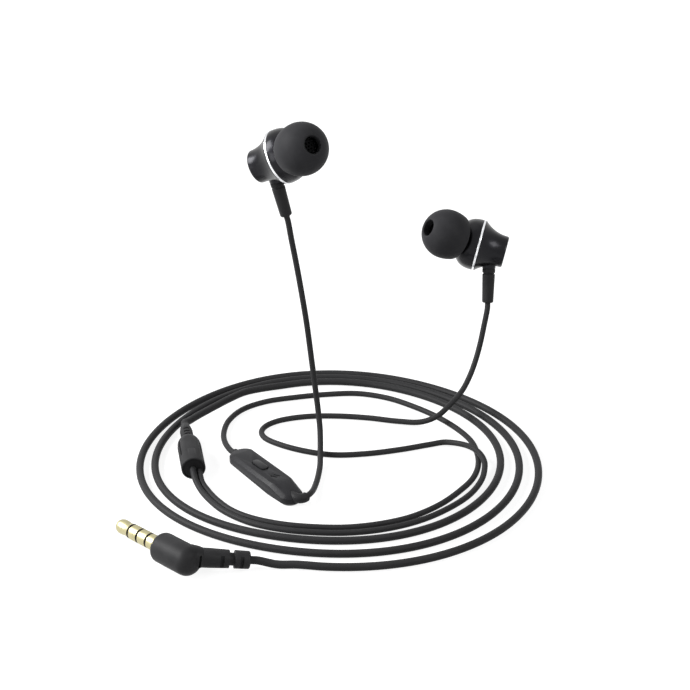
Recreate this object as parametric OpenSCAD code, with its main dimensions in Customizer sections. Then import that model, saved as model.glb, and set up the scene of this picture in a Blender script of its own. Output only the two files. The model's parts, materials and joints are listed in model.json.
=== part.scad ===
// Wired in-ear earphones: two angled buds, an in-line remote, a splitter and an angled plug.
// Millimetres, +Z up, +X to the wearer's right bud, +Y away from the plug.
// The ears hold the buds up, and the cords hang from them down to a loose coil below.
// The origin is the middle of the left ear tip's front opening.

/* [Bud shells] */
// Outer diameter of the bright trim ring
ring_d = 12.8; // [11.8:0.1:15]
// Width of the trim ring along the housing
ring_w = 0.6; // [0.5:0.1:1.2]
// Depth of the trim ring's section, from its outside to the spigot
ring_depth = 0.5; // [0.4:0.05:0.8]
// Length of the flared rear shell behind the ring
rear_len = 6.45; // [6:0.05:9]
// Diameter of the rear shell at its closed end
rear_d = 7.8; // [7.2:0.1:9]
// Length of the domed front housing ahead of the ring
dome_len = 5.45; // [5:0.05:8]
// Wall of both shells
shell_wall = 0.6; // [0.45:0.05:0.7]
// Length of the spigot that locates the front housing
spigot_len = 1.2; // [0.8:0.1:1.5]

/* [Nozzle and ear tip] */
// Angle between the housing and the nozzle
nozzle_bend = 35; // [20:1:45]
// Length of the nozzle from the point where it leaves the housing's axis
nozzle_len = 12.6; // [12.3:0.1:15]
// Outer diameter of the nozzle tube
nozzle_d = 5; // [4.6:0.1:5.6]
// Diameter of the nozzle's bore
bore_d = 3.4; // [2.6:0.1:3.6]
// Outer diameter of the ear tip
tip_d = 12.1; // [11.5:0.1:14]
// Diameter of the ear tip's sound opening
tip_hole_d = 4; // [3:0.1:4.4]
// Length of the skirt behind the tip's widest circle
tip_skirt = 3.2; // [2:0.1:3.4]
// Length of nozzle that the tip's core grips
grip_len = 5.4; // [4:0.1:5.6]
// Wall of the tip's core tube
core_wall = 0.7; // [0.5:0.1:0.9]
// Thickness of the skirt at its rim
skirt_wall = 0.5; // [0.35:0.05:0.7]

/* [Driver] */
// Diameter of the driver's top plate
plate_d = 4.4; // [3.6:0.1:4.6]
// Height of the magnet
magnet_h = 1.2; // [0.9:0.1:1.3]
// Height of the driver's basket
basket_h = 2.3; // [2.1:0.1:2.5]
// Length of the voice coil's winding
winding_h = 1.4; // [1.1:0.1:1.5]

/* [Bud strain relief] */
// Length of the strain relief outside the shell
relief_len = 8.5; // [6:0.1:12]
// Diameter of the strain relief where it leaves the shell
relief_d = 3.2; // [2.8:0.1:3.4]
// Diameter of the strain relief at its free end
relief_end_d = 2.8; // [2:0.1:3]
// Lean of the strain relief towards the back of its shell
relief_lean = 13; // [0:1:18]

/* [Remote] */
// Length of the remote
remote_l = 26; // [24:0.5:34]
// Width of the remote
remote_w = 6.4; // [6:0.1:8]
// Height of the remote
remote_h = 3.8; // [3.7:0.1:5.5]
// Wall of the remote's covers
remote_wall = 0.6; // [0.5:0.05:0.7]
// Length of the button
button_l = 5; // [4:0.1:6]
// Width of the button
button_w = 2; // [1.6:0.1:2.4]
// Travel of the button
button_travel = 0.25; // [0.15:0.05:0.3]

/* [Splitter] */
// Diameter of the splitter's barrel
splitter_d = 5.7; // [5:0.1:8]
// Length of the splitter's barrel and shoulder
splitter_l = 14; // [12.5:0.5:24]
// Diameter of the neck on the main cord's side
neck_d = 3.1; // [2.8:0.1:3.6]
// Length of the neck outside the barrel
neck_l = 7.5; // [6:0.5:12]

/* [Plug] */
// Diameter of the plug's contacts
plug_d = 3.5; // [3.5:0.1:3.5]
// Length of the contacts ahead of the handle
plug_l = 14; // [13.5:0.1:15]
// Diameter of the handle
handle_d = 6.8; // [6:0.1:8]
// Length of the handle from its face to the bend
handle_l = 8.5; // [8:0.1:14]
// Length of the boot past the bend
boot_l = 14; // [13:0.1:18]
// Diameter of the boot at its free end
boot_d = 4; // [3.6:0.1:4.4]

/* [Cords] */
// Diameter of the main cord
main_d = 1.8; // [1.5:0.05:2]
// Diameter of the two thin cords
thin_d = 1.4; // [1.2:0.05:1.6]
// Mean radius of the coil's outermost turn
coil_r = 48.1; // [48:0.1:52]
// Mean step between one turn and the next
coil_step = 3.85; // [3.8:0.05:4.2]
// Rings of the cord's solid in one turn
coil_rings = 24; // [24:1:30]

/* [Hidden] */
// Clearance between pieces that fit into each other
fit = 0.05;
// Clearance round a piece that slides
slide_gap = 0.15;

// Bud: z runs forward along the housing, from the middle of the trim ring
half_ring = ring_w / 2;
// How far the trim ring stands proud of the two shells
ring_proud = 0.05;
shell_r = ring_d / 2 - ring_proud;
spigot_r = ring_d / 2 - ring_depth;
spigot_wall = 0.3;
spigot_bore = spigot_r - spigot_wall;
rear_z = -half_ring - rear_len;
// Rounding of the rear shell's closed end
rear_edge = 0.4;
// Exponents of the flare behind the ring and of the dome ahead of it
flare_power = 2.4;
dome_power = 2.6;

// Nozzle: t runs along it, from a point on the housing's axis
nozzle_root = 0.9;
// Turn of the nozzle about the housing, up from level
nozzle_turn = 12;
lip_r = nozzle_d / 2 + 0.25;
lip_len = 0.6;
// Distance of the tip's widest circle behind the nozzle's end
tip_back = 3.45;
tip_wide = nozzle_len - tip_back;
tip_front = tip_wide + sqrt(pow(tip_d / 2, 2) - pow(tip_hole_d / 2, 2));
core_r = lip_r + fit + core_wall;
// Mesh disc in its seat at the nozzle's end
mesh_t = 0.2;
mesh_inset = 0.1;
mesh_r = bore_d / 2 + 0.35;

// Driver: the basket fills the spigot, and the motor stands behind it
basket_r = spigot_bore - fit;
basket_wall = 0.5;
basket_floor = 0.4;
basket_z = -half_ring;
basket_top = basket_z + basket_h;
plate_r = plate_d / 2;
plate_h = 0.5;
winding_wall = 0.25;
winding_in = plate_r + slide_gap;
winding_out = winding_in + winding_wall;
yoke_wall = 0.35;
yoke_floor = 0.4;
yoke_in = winding_out + slide_gap;
yoke_r = yoke_in + yoke_wall;
// Height of the yoke's rim above the basket's floor
yoke_rise = 0.8;
plate_top = basket_z + basket_floor + yoke_rise;
plate_z = plate_top - plate_h;
magnet_z = plate_z - magnet_h;
yoke_z = magnet_z - yoke_floor;
cone_z = basket_top - 0.25;
cone_t = 0.15;
cone_r = basket_r - basket_wall - slide_gap;
cone_rise = 0.25;
cover_h = 0.5;
cover_t = 0.15;
cover_r = basket_r - 0.3;
board_t = 0.4;

// Strain relief: w runs down it, from the housing's axis
relief_back = 2.7;
relief_neck_r = relief_d / 2 - 0.45;
relief_shell_r = flare_r((relief_back - half_ring) / rear_len);
boss_in = relief_shell_r - shell_wall - 0.7;
boss_out = relief_shell_r + 0.3;
boss_r = relief_d / 2 + 0.05;
flange_t = 0.5;
flange_r = relief_neck_r + 0.45;
relief_end = boss_out + fit + relief_len;

// Where each bud hangs above the desk, and how it is turned
left_at = [-13.4, 12.2, 73.1];
left_turn = [63, -3.5, 72.5];
right_at = [34.3, 38.2, 41];
right_turn = [77.5, -17, -96.5];

// Remote: x runs along it to the left bud's cord, z up from the desk
remote_at = [-17.3, -8.2];
remote_heading = -54.5;
split_z = 1.6;
remote_tail_w = remote_w - 0.6;
remote_tail_drop = 1.1;
// Where the top starts to fall towards the tail
remote_fall = 7.4;
remote_edge = 0.7;
cord_z = remote_h / 2;
bushing_r = 1.15;
bushing_in = 2;
elbow_r = 1.6;
elbow_turn = 110;
// Where the elbow starts to turn, ahead of the remote's end
elbow_in = 1.1;
circuit_z = split_z;
circuit_t = 0.4;
circuit_l = 15;
circuit_w = remote_w - 2 * remote_wall - 1.2;
button_x = -2.3;
button_lip = 0.3;
button_proud = 0.25;
// Height of the switch below the button's underside
switch_h = 0.6;
roof_z = remote_h - remote_wall;
button_z = roof_z - 0.1 - button_lip;
mic_x = 4.1;

// Splitter: x runs from the main cord's side to the thin cords' end
splitter_at = [-34.2, -6.4];
splitter_heading = -80.2;
barrel_r = splitter_d / 2;
cap_t = 0.8;
cap_inset = 0.15;
cap_r = barrel_r - 0.45;
neck_stub = 3;

// Plug: x runs from the handle's face to the tip
plug_at = [-38.9, -41.6, 3.55];
plug_heading = 135;
plug_dip = 2.5;
boot_heading = 9.5;
boot_dip = 9.4;
// Height of the boot's axis above the handle's at the bend
boot_lift = 0.6;
contact_r = plug_d / 2;
band_w = 0.6;
tip_l = 4.7;
ring_l = 2.4;
// Radii of the insulator's core and of the wire pin inside it
insulator_r = 1.15;
pin_r = 0.5;
// Thinner length of the contacts inside the handle, and the flange that holds them there
shank_l = 5.5;
shank_r = contact_r - 0.25;
shank_flange_r = 2.4;
// How far ahead of the handle the contacts come to their full diameter
contact_lead = 0.1;
// Rounding of the handle's end, how far it reaches past the bend, and where the boot starts
knuckle_edge = 2.5;
knuckle_end = handle_d / 2 - 0.1;
boot_start = handle_d / 2 + 0.4;
boot_root_r = boot_d / 2 + 0.15;
bend_at = plug_at - handle_l * heading(plug_heading, plug_dip) + [0, 0, boot_lift];

// Coil of the main cord: its middle, and where its turns begin and end
coil_middle = [-0.7, 2.5];
coil_from = -100;
coil_to = 830;
// Egg shape of the turns, and how the step narrows towards the back
coil_bulge = [[-0.3, -1.5], [0.7, -0.7], [-0.1, -0.5], [0.1, 0.3]];
step_bulge = [[0.4, -1.5], [0, -0.2]];

// Routes that lie free on the desk: [across, away, height], chosen by hand
plug_lead = [[-13.4, -45.1, 1]];
splitter_lead = [
    [-24, 36, 1.6], [-27.8, 31.9, 1.8], [-31.4, 27.3, 1.9], [-33.5, 24.2, 2.1],
    [-35.6, 21, 2.3], [-37.4, 18, 2.5]];
remote_route = [
    [-32, -10.2, 1.4], [-30.4, -13.2, 0.8], [-28.1, -17.2, 0.7], [-24.6, -21.7, 0.7],
    [-20.2, -25, 0.7], [-13.3, -27.8, 0.7], [-6, -29.1, 0.7], [1.5, -29.3, 0.7],
    [9, -27.8, 0.7], [16, -24.8, 0.7], [22.8, -19.3, 0.7], [27.8, -12.9, 0.7],
    [31, -7.4, 0.7], [32.7, -1.4, 0.7], [32.9, 5, 0.7], [31.8, 11.2, 0.7],
    [28.9, 17.3, 0.7], [24.4, 23.6, 0.7], [18.8, 29.2, 0.7], [12, 34.2, 0.7],
    [4.5, 36.7, 0.7], [-3, 36.3, 0.7], [-11, 34.7, 0.7], [-18.8, 32.2, 0.7],
    [-24.4, 28, 0.7], [-27.6, 22, 0.7], [-28.5, 15.5, 0.8], [-27.9, 9.6, 1.3]];
right_route = [
    [-33.6, -10.2, 2], [-32.5, -13.4, 1.1], [-30.1, -17.4, 0.7], [-26.5, -22.3, 0.7],
    [-20.4, -27.3, 0.7], [-13.4, -30, 0.7], [-6, -31.4, 0.7], [1.8, -31.6, 0.7],
    [9.6, -30.1, 0.7], [17.2, -26.8, 0.7], [24, -21.6, 0.7], [29.8, -14.9, 0.7],
    [33.2, -8.6, 0.8], [34.8, -3, 1.2], [35, 2, 2.1], [33.7, 6.1, 2.8],
    [31.2, 8.8, 2.4], [27.6, 10.1, 1.2], [22, 9.5, 0.7], [14.4, 6.8, 0.7],
    [6.5, 4.8, 0.7], [-1.5, 4.2, 0.7], [-8.5, 6.1, 0.7], [-14.6, 9.4, 0.7],
    [-18.3, 12.7, 0.7], [-19.3, 15.8, 0.7], [-18.3, 19, 0.7], [-15, 21.9, 0.7], [-8.5, 24, 0.7],
    [-1, 24.3, 0.7], [7, 23.3, 0.7], [14.4, 21.3, 0.8], [20, 20, 1.3],
    [24, 19.9, 3], [27.4, 22.3, 5.2], [30.3, 24.8, 7.6], [32.3, 27.2, 10.6],
    [33.8, 29.4, 14], [34.9, 31, 17.8], [35.7, 32.2, 21.6]];
left_route = [
    [-6.3, -14.4, 1.4], [-5.8, -11.4, 0.9], [-5.3, -7.8, 0.7], [-4.9, -3.8, 0.7],
    [-4.7, -0.4, 0.9], [-4.7, 2.2, 1.9], [-4.7, 4.5, 3.8], [-4.8, 6.6, 6.6],
    [-5.3, 8.6, 11], [-6, 9.9, 16.6], [-6.9, 11, 24], [-7.8, 11.7, 31.5],
    [-8.9, 12.2, 39], [-10.1, 12.5, 46.5], [-11.2, 12.7, 52.8]];

$fn = 48;

// ---- Vectors and places ----

function unit(v) = v / norm(v);

// A vector turned about x, then y, then z, as rotate() turns a solid
function turned_x(a, v) = [v[0], v[1] * cos(a) - v[2] * sin(a), v[1] * sin(a) + v[2] * cos(a)];
function turned_y(a, v) = [v[0] * cos(a) + v[2] * sin(a), v[1], v[2] * cos(a) - v[0] * sin(a)];
function turned_z(a, v) = [v[0] * cos(a) - v[1] * sin(a), v[0] * sin(a) + v[1] * cos(a), v[2]];
function turned(a, v) = turned_z(a[2], turned_y(a[1], turned_x(a[0], v)));

// Direction of something that heads along the desk and dips below level
function heading(a, dip) = [cos(a) * cos(dip), sin(a) * cos(dip), -sin(dip)];

// Nozzle and strain relief directions in a bud's own frame; side is -1 left, 1 right
function nozzle_way(side) = [
    side * sin(nozzle_bend) * cos(nozzle_turn),
    sin(nozzle_bend) * sin(nozzle_turn),
    cos(nozzle_bend)];
relief_way = [0, -cos(relief_lean), -sin(relief_lean)];

// Middle of the left ear tip's opening above the desk: the origin of the whole model
seat = left_at + turned(left_turn, [0, 0, nozzle_root] + tip_front * nozzle_way(-1));

function relief_tip(at, turn) = at + turned(turn, [0, 0, -relief_back] + relief_end * relief_way);

module desk() {
    translate(-seat) children();
}

module left_bud() {
    desk() translate(left_at) rotate(left_turn) mirror([1, 0, 0]) children();
}

module right_bud() {
    desk() translate(right_at) rotate(right_turn) children();
}

module along_nozzle() {
    translate([0, 0, nozzle_root]) rotate([0, 0, nozzle_turn]) rotate([0, nozzle_bend, 0]) children();
}

module along_relief() {
    translate([0, 0, -relief_back]) rotate([90 + relief_lean, 0, 0]) children();
}

module remote() {
    desk() translate([remote_at[0], remote_at[1], 0]) rotate([0, 0, remote_heading]) children();
}

module splitter() {
    desk() translate([splitter_at[0], splitter_at[1], barrel_r])
        rotate([0, 0, splitter_heading]) children();
}

module plug() {
    desk() translate(plug_at) rotate([0, plug_dip, plug_heading]) children();
}

module boot() {
    desk() translate(bend_at) rotate([0, boot_dip, boot_heading]) children();
}

// Turns a profile of [radius, position] about the x axis
module turned_along_x(profile) {
    rotate([0, 90, 0]) rotate_extrude() polygon(profile);
}

// A ring between two radii and two heights
module tube(outer, inner, low, high) {
    rotate_extrude() polygon([[inner, low], [outer, low], [outer, high], [inner, high]]);
}

// ---- Buds ----

// Outer radius of the rear shell at a share u of its length behind the ring
function flare_r(u) = rear_d / 2 + (shell_r - rear_d / 2) * pow(max(0, 1 - u), flare_power);

// A half dome's profile, from its foot at z to its crown
function dome(r, z, height) = [
    for (i = [0:14]) let (s = sin(i * 90 / 14))
        [r * pow(1 - pow(s, dome_power), 1 / dome_power), z + height * s]];

module rear_shell() {
    flare_z = [for (i = [0:9]) rear_z + rear_edge + (rear_len - rear_edge) * i / 9];
    inner_z = [for (i = [9:-1:0]) rear_z + shell_wall + (rear_len - shell_wall) * i / 9];
    difference() {
        union() {
            rotate_extrude() polygon(concat(
                [[0, rear_z]],
                [for (a = [-90:22.5:-22.5])
                    [rear_d / 2 - rear_edge + rear_edge * cos(a), rear_z + rear_edge + rear_edge * sin(a)]],
                [for (z = flare_z) [flare_r((-half_ring - z) / rear_len), z]],
                [[spigot_r, -half_ring], [spigot_r, half_ring + spigot_len]],
                [[spigot_bore, half_ring + spigot_len]],
                [for (z = inner_z)
                    [min(spigot_bore, flare_r((-half_ring - z) / rear_len) - shell_wall), z]],
                [[0, rear_z + shell_wall]]));
            along_relief() translate([0, 0, boss_in])
                cylinder(r = boss_r, h = boss_out - boss_in);
        }
        along_relief() translate([0, 0, boss_in - 1])
            cylinder(r = relief_neck_r + fit, h = boss_out - boss_in + 2);
    }
}

module trim_ring() {
    r = ring_d / 2;
    soft = 0.12;
    rotate_extrude() polygon([
        [spigot_r + fit / 2, -half_ring], [r - soft, -half_ring], [r, soft - half_ring],
        [r, half_ring - soft], [r - soft, half_ring], [spigot_r + fit / 2, half_ring]]);
}

module front_housing() {
    inner_z = half_ring + spigot_len + 0.2;
    inner = dome(shell_r - shell_wall, half_ring, dome_len - shell_wall);
    difference() {
        union() {
            rotate_extrude() polygon(concat([[0, half_ring]], dome(shell_r, half_ring, dome_len)));
            along_nozzle() {
                cylinder(r = nozzle_d / 2, h = nozzle_len);
                translate([0, 0, dome_len - 0.9]) cylinder(r1 = nozzle_d / 2 + 1, r2 = nozzle_d / 2, h = 1.6);
                translate([0, 0, nozzle_len - lip_len]) cylinder(r = lip_r, h = lip_len);
            }
        }
        rotate_extrude() polygon(concat([[0, half_ring]], inner));
        translate([0, 0, half_ring - 1]) cylinder(r = spigot_r + fit, h = inner_z - half_ring + 1);
        translate([0, 0, half_ring - nozzle_len]) cylinder(r = shell_r + 1, h = nozzle_len);
        along_nozzle() {
            translate([0, 0, dome_len - 2]) cylinder(r = bore_d / 2, h = nozzle_len);
            translate([0, 0, nozzle_len - mesh_inset - mesh_t]) cylinder(r = mesh_r + fit, h = 1);
        }
    }
}

module nozzle_mesh() {
    pitch = mesh_r / 2.6;
    along_nozzle() translate([0, 0, nozzle_len - mesh_inset - mesh_t]) difference() {
        cylinder(r = mesh_r, h = mesh_t);
        for (ring = [0:2])
            for (i = [0:max(1, 6 * ring) - 1])
                rotate([0, 0, i * 360 / max(1, 6 * ring)]) translate([ring * pitch, 0, -mesh_t])
                    cylinder(r = pitch * 0.28, h = 3 * mesh_t, $fn = 13);
    }
}

module damper() {
    along_nozzle() translate([0, 0, nozzle_len - grip_len]) cylinder(r = bore_d / 2 - fit, h = 1);
}

// Mushroom of soft rubber: a ball over a core tube that grips the nozzle
module ear_tip() {
    r = tip_d / 2;
    back = tip_wide - tip_skirt;
    rim_r = r * 0.92;
    open_a = acos(tip_hole_d / 2 / r);
    core_in = lip_r + fit;
    core_back = nozzle_len - grip_len;
    stop = nozzle_len + 0.1;
    web = tip_wide + r * 0.5;
    along_nozzle() rotate_extrude() polygon(concat(
        [for (i = [0:12]) let (a = open_a * (1 - i / 12)) [r * cos(a), tip_wide + r * sin(a)]],
        [for (i = [1:4]) [r - (r - rim_r) * pow(i / 4, 2), tip_wide - (tip_skirt - 0.2) * i / 4]],
        [[rim_r - 0.15, back], [rim_r - skirt_wall + 0.1, back], [rim_r - skirt_wall, back + 0.2]],
        [for (i = [3:-1:0])
            [r - (r - rim_r) * pow(i / 4, 2) - skirt_wall - 0.12 * (4 - i) / 4,
                tip_wide - (tip_skirt - 0.2) * i / 4]],
        [for (a = [12:9:30]) [(r - skirt_wall - 0.15) * cos(a), tip_wide + (r - 0.8) * sin(a)]],
        [[core_r + 0.3, web], [core_r, web - 0.3], [core_r, core_back], [core_in, core_back]],
        [[core_in, stop], [tip_hole_d / 2, stop]]));
}

module driver_basket() {
    inner_r = basket_r - basket_wall;
    difference() {
        tube(basket_r, yoke_r + fit / 2, basket_z, basket_top);
        translate([0, 0, basket_z + basket_floor]) cylinder(r = inner_r, h = basket_h);
        for (i = [0:5])
            rotate([0, 0, 60 * i]) translate([(yoke_r + inner_r) / 2, 0, basket_z - 1])
                cylinder(r = 0.4, h = 3, $fn = 16);
    }
}

module driver_cover() {
    low = basket_top;
    difference() {
        translate([0, 0, low]) cylinder(r = cover_r, h = cover_h + cover_t);
        translate([0, 0, low - 1]) cylinder(r = cover_r - 0.25, h = cover_h + 1);
        translate([0, 0, low]) cylinder(r = 0.6, h = 3);
        for (i = [0:5])
            rotate([0, 0, 60 * i]) translate([cover_r / 2, 0, low]) cylinder(r = 0.5, h = 3);
    }
}

module yoke() {
    rotate_extrude() polygon([
        [0, yoke_z], [yoke_r, yoke_z], [yoke_r, plate_top], [yoke_in, plate_top],
        [yoke_in, magnet_z], [0, magnet_z]]);
}

module magnet() {
    translate([0, 0, magnet_z]) cylinder(r = plate_r - 0.1, h = magnet_h);
}

module top_plate() {
    translate([0, 0, plate_z]) cylinder(r = plate_r, h = plate_h);
}

module voice_coil() {
    tube(winding_out, winding_in, cone_z - winding_h, cone_z);
}

// A shallow dome inside a rolled surround, thin all over
module diaphragm() {
    n = 8;
    mid = winding_out;
    upper = concat(
        [for (i = [0:n]) [mid * i / n, cone_z + cone_t + cone_rise * (1 - pow(i / n, 2))]],
        [for (i = [1:n]) [mid + (cone_r - mid) * i / n, cone_z + cone_t + cone_rise * sin(180 * i / n)]]);
    lower = [for (i = [2 * n:-1:0])
        [upper[i][0], i == n ? cone_z : max(cone_z, upper[i][1] - cone_t)]];
    rotate_extrude() polygon(concat(upper, lower));
}

module terminal_board() {
    top = yoke_z - fit;
    translate([0, 0, top - board_t]) cylinder(r = plate_r + 0.1, h = board_t);
    for (x = [-1, 1])
        translate([x, 0, top - board_t - 0.15]) cylinder(r = 0.45, h = 0.2, $fn = 24);
}

module strain_relief() {
    collar = boss_out + fit;
    groove = collar + 1;
    r = relief_d / 2;
    end_r = relief_end_d / 2;
    along_relief() rotate_extrude() polygon([
        [0, boss_in - flange_t], [flange_r, boss_in - flange_t], [flange_r, boss_in],
        [relief_neck_r, boss_in], [relief_neck_r, collar], [r - 0.1, collar], [r, collar + 0.1],
        [r, groove], [r - 0.25, groove + 0.1], [r - 0.25, groove + 0.35], [r - 0.03, groove + 0.45],
        [end_r, relief_end - 0.25], [end_r - 0.2, relief_end], [0, relief_end]]);
}

// ---- Remote ----

// The remote's outer form, drawn in by an even wall on every side
module remote_form(wall) {
    r = remote_w / 2;
    tail_r = remote_tail_w / 2;
    ends = [
        [r - remote_l / 2, r, remote_h],
        [remote_l / 2 - remote_fall, r, remote_h],
        [remote_l / 2 - tail_r, tail_r, remote_h - remote_tail_drop]];
    hull()
        for (e = ends) {
            translate([e[0], 0, wall]) cylinder(r = e[1] - remote_edge - wall, h = e[2] - 2 * wall, $fn = 32);
            translate([e[0], 0, remote_edge + wall * 0.4])
                cylinder(r = e[1] - wall, h = e[2] - 2 * remote_edge - wall * 0.8, $fn = 32);
        }
}

module remote_space(low, high) {
    translate([-remote_l, -remote_w, low]) cube([2 * remote_l, 2 * remote_w, high - low]);
}

module cord_notches() {
    translate([-remote_l, 0, cord_z]) rotate([0, 90, 0]) cylinder(r = bushing_r + fit, h = remote_l);
    elbow(bushing_r + fit, bushing_in + fit);
}

// A round bar that turns the cord back beside the remote
module elbow(r, inside) {
    start = remote_l / 2 - elbow_in;
    translate([start - inside, 0, cord_z]) rotate([0, 90, 0]) cylinder(r = r, h = inside);
    translate([start, elbow_r, cord_z]) rotate([0, 0, -90])
        rotate_extrude(angle = elbow_turn) translate([elbow_r, 0]) circle(r = r, $fn = 32);
}

// A slot with round ends, centred on x
module pill(length, width, height) {
    translate([0, 0, height / 2]) cube([length - width, width, height], center = true);
    for (x = [-1, 1])
        translate([x * (length - width) / 2, 0, 0]) cylinder(r = width / 2, h = height, $fn = 32);
}

module remote_bottom_cover() {
    difference() {
        intersection() {
            remote_form(0);
            remote_space(0, split_z);
        }
        difference() {
            remote_form(remote_wall);
            for (x = [-circuit_l / 2 + 1.5, circuit_l / 2 - 1.5])
                translate([x, 0, 0]) cylinder(r = 0.8, h = circuit_z, $fn = 24);
        }
        cord_notches();
    }
}

module remote_top_cover() {
    difference() {
        intersection() {
            remote_form(0);
            remote_space(split_z, remote_h);
        }
        remote_form(remote_wall);
        cord_notches();
        translate([button_x, 0, split_z])
            pill(button_l + 2 * slide_gap, button_w + 2 * slide_gap, remote_h);
        for (y = [-0.45, 0.45])
            translate([mic_x, y, split_z]) rotate([0, 0, 30]) pill(1.7, 0.4, remote_h);
    }
}

module remote_button() {
    translate([button_x, 0, button_z]) {
        pill(button_l + 2 * button_lip + 0.2, button_w + 2 * button_lip + 0.2, button_lip);
        pill(button_l, button_w, remote_h + button_proud - button_z);
    }
    translate([button_x, 0, button_z - switch_h / 2]) cylinder(r = 0.5, h = switch_h / 2, $fn = 24);
}

module remote_circuit_board() {
    translate([-circuit_l / 2, -circuit_w / 2, circuit_z]) cube([circuit_l, circuit_w, circuit_t]);
}

module remote_switch() {
    base = circuit_z + circuit_t;
    top = button_z - button_travel - fit;
    difference() {
        translate([button_x - 1.3, -1, base]) cube([2.6, 2, top - base]);
        translate([button_x, 0, button_z - switch_h / 2 - button_travel - fit])
            cylinder(r = 0.5 + fit, h = 1, $fn = 24);
    }
}

module remote_microphone() {
    translate([mic_x, 0, circuit_z + circuit_t]) cylinder(r = 1, h = 0.8, $fn = 32);
}

module remote_upper_bushing() {
    end = remote_l / 2;
    translate([0, 0, cord_z]) turned_along_x([
        [0, -end - 0.9], [bushing_r - 0.3, -end - 0.9], [bushing_r, -end - 0.6],
        [bushing_r, bushing_in - end], [0, bushing_in - end]]);
}

module remote_elbow_bushing() {
    elbow(bushing_r, bushing_in);
}

// ---- Splitter ----

module splitter_barrel() {
    flat = barrel_r - 0.2;
    difference() {
        turned_along_x([
            [neck_d / 2 + 0.1, -splitter_l], [neck_d / 2 + 0.35, 0.3 - splitter_l],
            [barrel_r - 0.45, 1.1 - splitter_l], [barrel_r - 0.15, 2.1 - splitter_l],
            [barrel_r, 3.6 - splitter_l], [barrel_r, -0.15], [barrel_r - 0.15, 0],
            [cap_r + fit, 0], [cap_r + fit, -cap_t - cap_inset], [cap_r - 0.3, -cap_t - cap_inset],
            [cap_r - 0.3, 4.2 - splitter_l], [neck_d / 2 - 0.3, 2.4 - splitter_l],
            [neck_d / 2 - 0.3, -splitter_l]]);
        translate([1.2 - splitter_l, -1.1, flat]) cube([splitter_l * 0.55, 2.2, 1]);
        for (s = [-1, 1])
            rotate([s * 58, 0, 0]) translate([1.9 - splitter_l, -0.2, flat - 0.3])
                cube([splitter_l * 0.55, 0.4, 1.5]);
    }
}

module splitter_neck() {
    r = neck_d / 2;
    root = -splitter_l;
    difference() {
        turned_along_x([
            [0, root - neck_l], [main_d / 2 + 0.15, root - neck_l], [r - 0.2, root - neck_l + 1.6],
            [r, root - neck_l + 3], [r, root], [r - 0.35, root], [r - 0.35, root + neck_stub],
            [0, root + neck_stub]]);
        // Flexing pockets along the top
        for (i = [0:2])
            translate([root - 0.9 - 1.4 * i, 0, r - 0.7]) rotate([0, 0, 90]) pill(1.5, 0.6, r);
    }
}

module splitter_crimp() {
    low = neck_stub - splitter_l;
    rotate([0, 90, 0]) tube(neck_d / 2 - 0.4, neck_d / 2 - 0.7, low, low + 4);
}

module splitter_end_cap() {
    translate([-cap_inset - cap_t, 0, 0]) rotate([0, 90, 0]) cylinder(r = cap_r, h = cap_t);
}

// ---- Plug ----

// Where each contact begins, counted back from the tip
band_1 = plug_l - tip_l - band_w;
band_2 = band_1 - ring_l - band_w;
band_3 = band_2 - ring_l - band_w;

module plug_tip() {
    low = band_1 + band_w;
    r = contact_r;
    turned_along_x([
        [0, -shank_l], [pin_r, -shank_l], [pin_r, low], [r - 0.1, low], [r - 0.26, low + 0.9],
        [r - 0.3, low + 1.4], [r - 0.14, low + 2.3], [r - 0.08, low + 3], [r - 0.16, low + 3.5],
        [r - 0.4, low + 4.1], [0.85, low + tip_l - 0.12], [0.5, low + tip_l], [0, low + tip_l]]);
}

// A sleeve between two places along the plug
module contact(low, high) {
    rotate([0, 90, 0]) tube(contact_r, insulator_r + fit / 2, low, high);
}

module plug_sleeve() {
    bore_r = insulator_r + fit / 2;
    turned_along_x([
        [bore_r, -shank_l], [shank_flange_r, -shank_l], [shank_flange_r, 1 - shank_l],
        [shank_r, 1 - shank_l], [shank_r, contact_lead], [contact_r, contact_lead],
        [contact_r, band_3], [bore_r, band_3]]);
}

module plug_insulator() {
    r = insulator_r;
    turned_along_x([
        [pin_r + fit / 2, 0.5 - shank_l], [r, 0.5 - shank_l], [r, band_3], [contact_r, band_3],
        [contact_r, band_3 + band_w], [r, band_3 + band_w], [r, band_2], [contact_r, band_2],
        [contact_r, band_2 + band_w], [r, band_2 + band_w], [r, band_1], [contact_r, band_1],
        [contact_r, band_1 + band_w], [pin_r + fit / 2, band_1 + band_w]]);
}

module plug_handle() {
    r = handle_d / 2;
    nose = 1.5;
    back = -handle_l - knuckle_end;
    difference() {
        union() {
            plug() turned_along_x(concat(
                [[0, back]],
                [for (a = [-90:15:0])
                    [r - knuckle_edge + knuckle_edge * cos(a), back + knuckle_edge + knuckle_edge * sin(a)]],
                [for (a = [0:15:75]) [r - nose + nose * cos(a), nose * sin(a) - nose]],
                [[r - nose, 0], [0, 0]]));
            boot() turned_along_x([
                [0, 0], [r * 0.8, 0.2], [r * 0.8, 1.4], [boot_root_r + 0.3, boot_start - 0.9],
                [boot_root_r, boot_start], [0, boot_start]]);
        }
        flex_slots(boot_start - 0.7);
        plug() rotate([0, 90, 0]) {
            translate([0, 0, -shank_l - fit]) cylinder(r = shank_r + fit / 2, h = 2 * shank_l);
            translate([0, 0, -shank_l - fit]) cylinder(r = shank_flange_r + fit / 2, h = 1 + 2 * fit);
        }
    }
}

// Two slots, cut into the boot's sides without reaching its top
module flex_slots(x) {
    for (s = [-1, 1])
        boot() translate([x, s * (boot_d / 2 + 0.1), 0]) cube([0.5, 1.6, boot_d * 0.75], center = true);
}

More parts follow.
